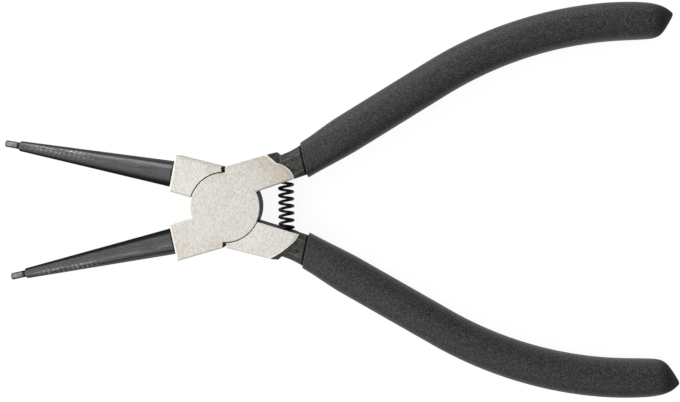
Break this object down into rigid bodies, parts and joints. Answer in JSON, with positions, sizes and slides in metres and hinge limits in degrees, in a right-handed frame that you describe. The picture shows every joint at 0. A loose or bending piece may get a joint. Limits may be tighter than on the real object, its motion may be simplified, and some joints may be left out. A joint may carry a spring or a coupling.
{
  "type": "circlip pliers",
  "caption": "Spring-opened circlip pliers for internal retaining rings: crossing halves on a lap joint, conical straight jaws with round tips and dipped grips.",
  "frame": {"origin": "the rivet's axis on the ground back face of the head, which lies on the table", "axes": "+X along the centre line from the pivot to the handles, +Y across the jaws, +Z along the rivet out of the front face"},
  "size_m": [0.1788, 0.1054, 0.0095],
  "materials": {
    "half_steel": "black oxide with ground faces on the head",
    "rivet_steel": "ground flush",
    "spring_steel": "black oxide",
    "grip_vinyl": "dipped, fine grain",
    "tip_steel": "hardened, bare"
  },
  "bodies": {
    "rear": {"rear_half": "half_steel", "pivot_rivet": "rivet_steel", "rear_grip": "grip_vinyl", "rear_tip": "tip_steel", "return_spring": "spring_steel"},
    "front": {"front_half": "half_steel", "front_grip": "grip_vinyl", "front_tip": "tip_steel"}
  },
  "joints": [
    {"name": "squeeze", "type": "hinge", "parent": "rear", "child": "front", "pos_m": [0, 0, 0.00475], "axis": [0, 0, -1], "range_deg": [-4, 30], "stiffness_Nm_per_rad": 1.2, "deforming": ["return_spring"]}
  ]
}
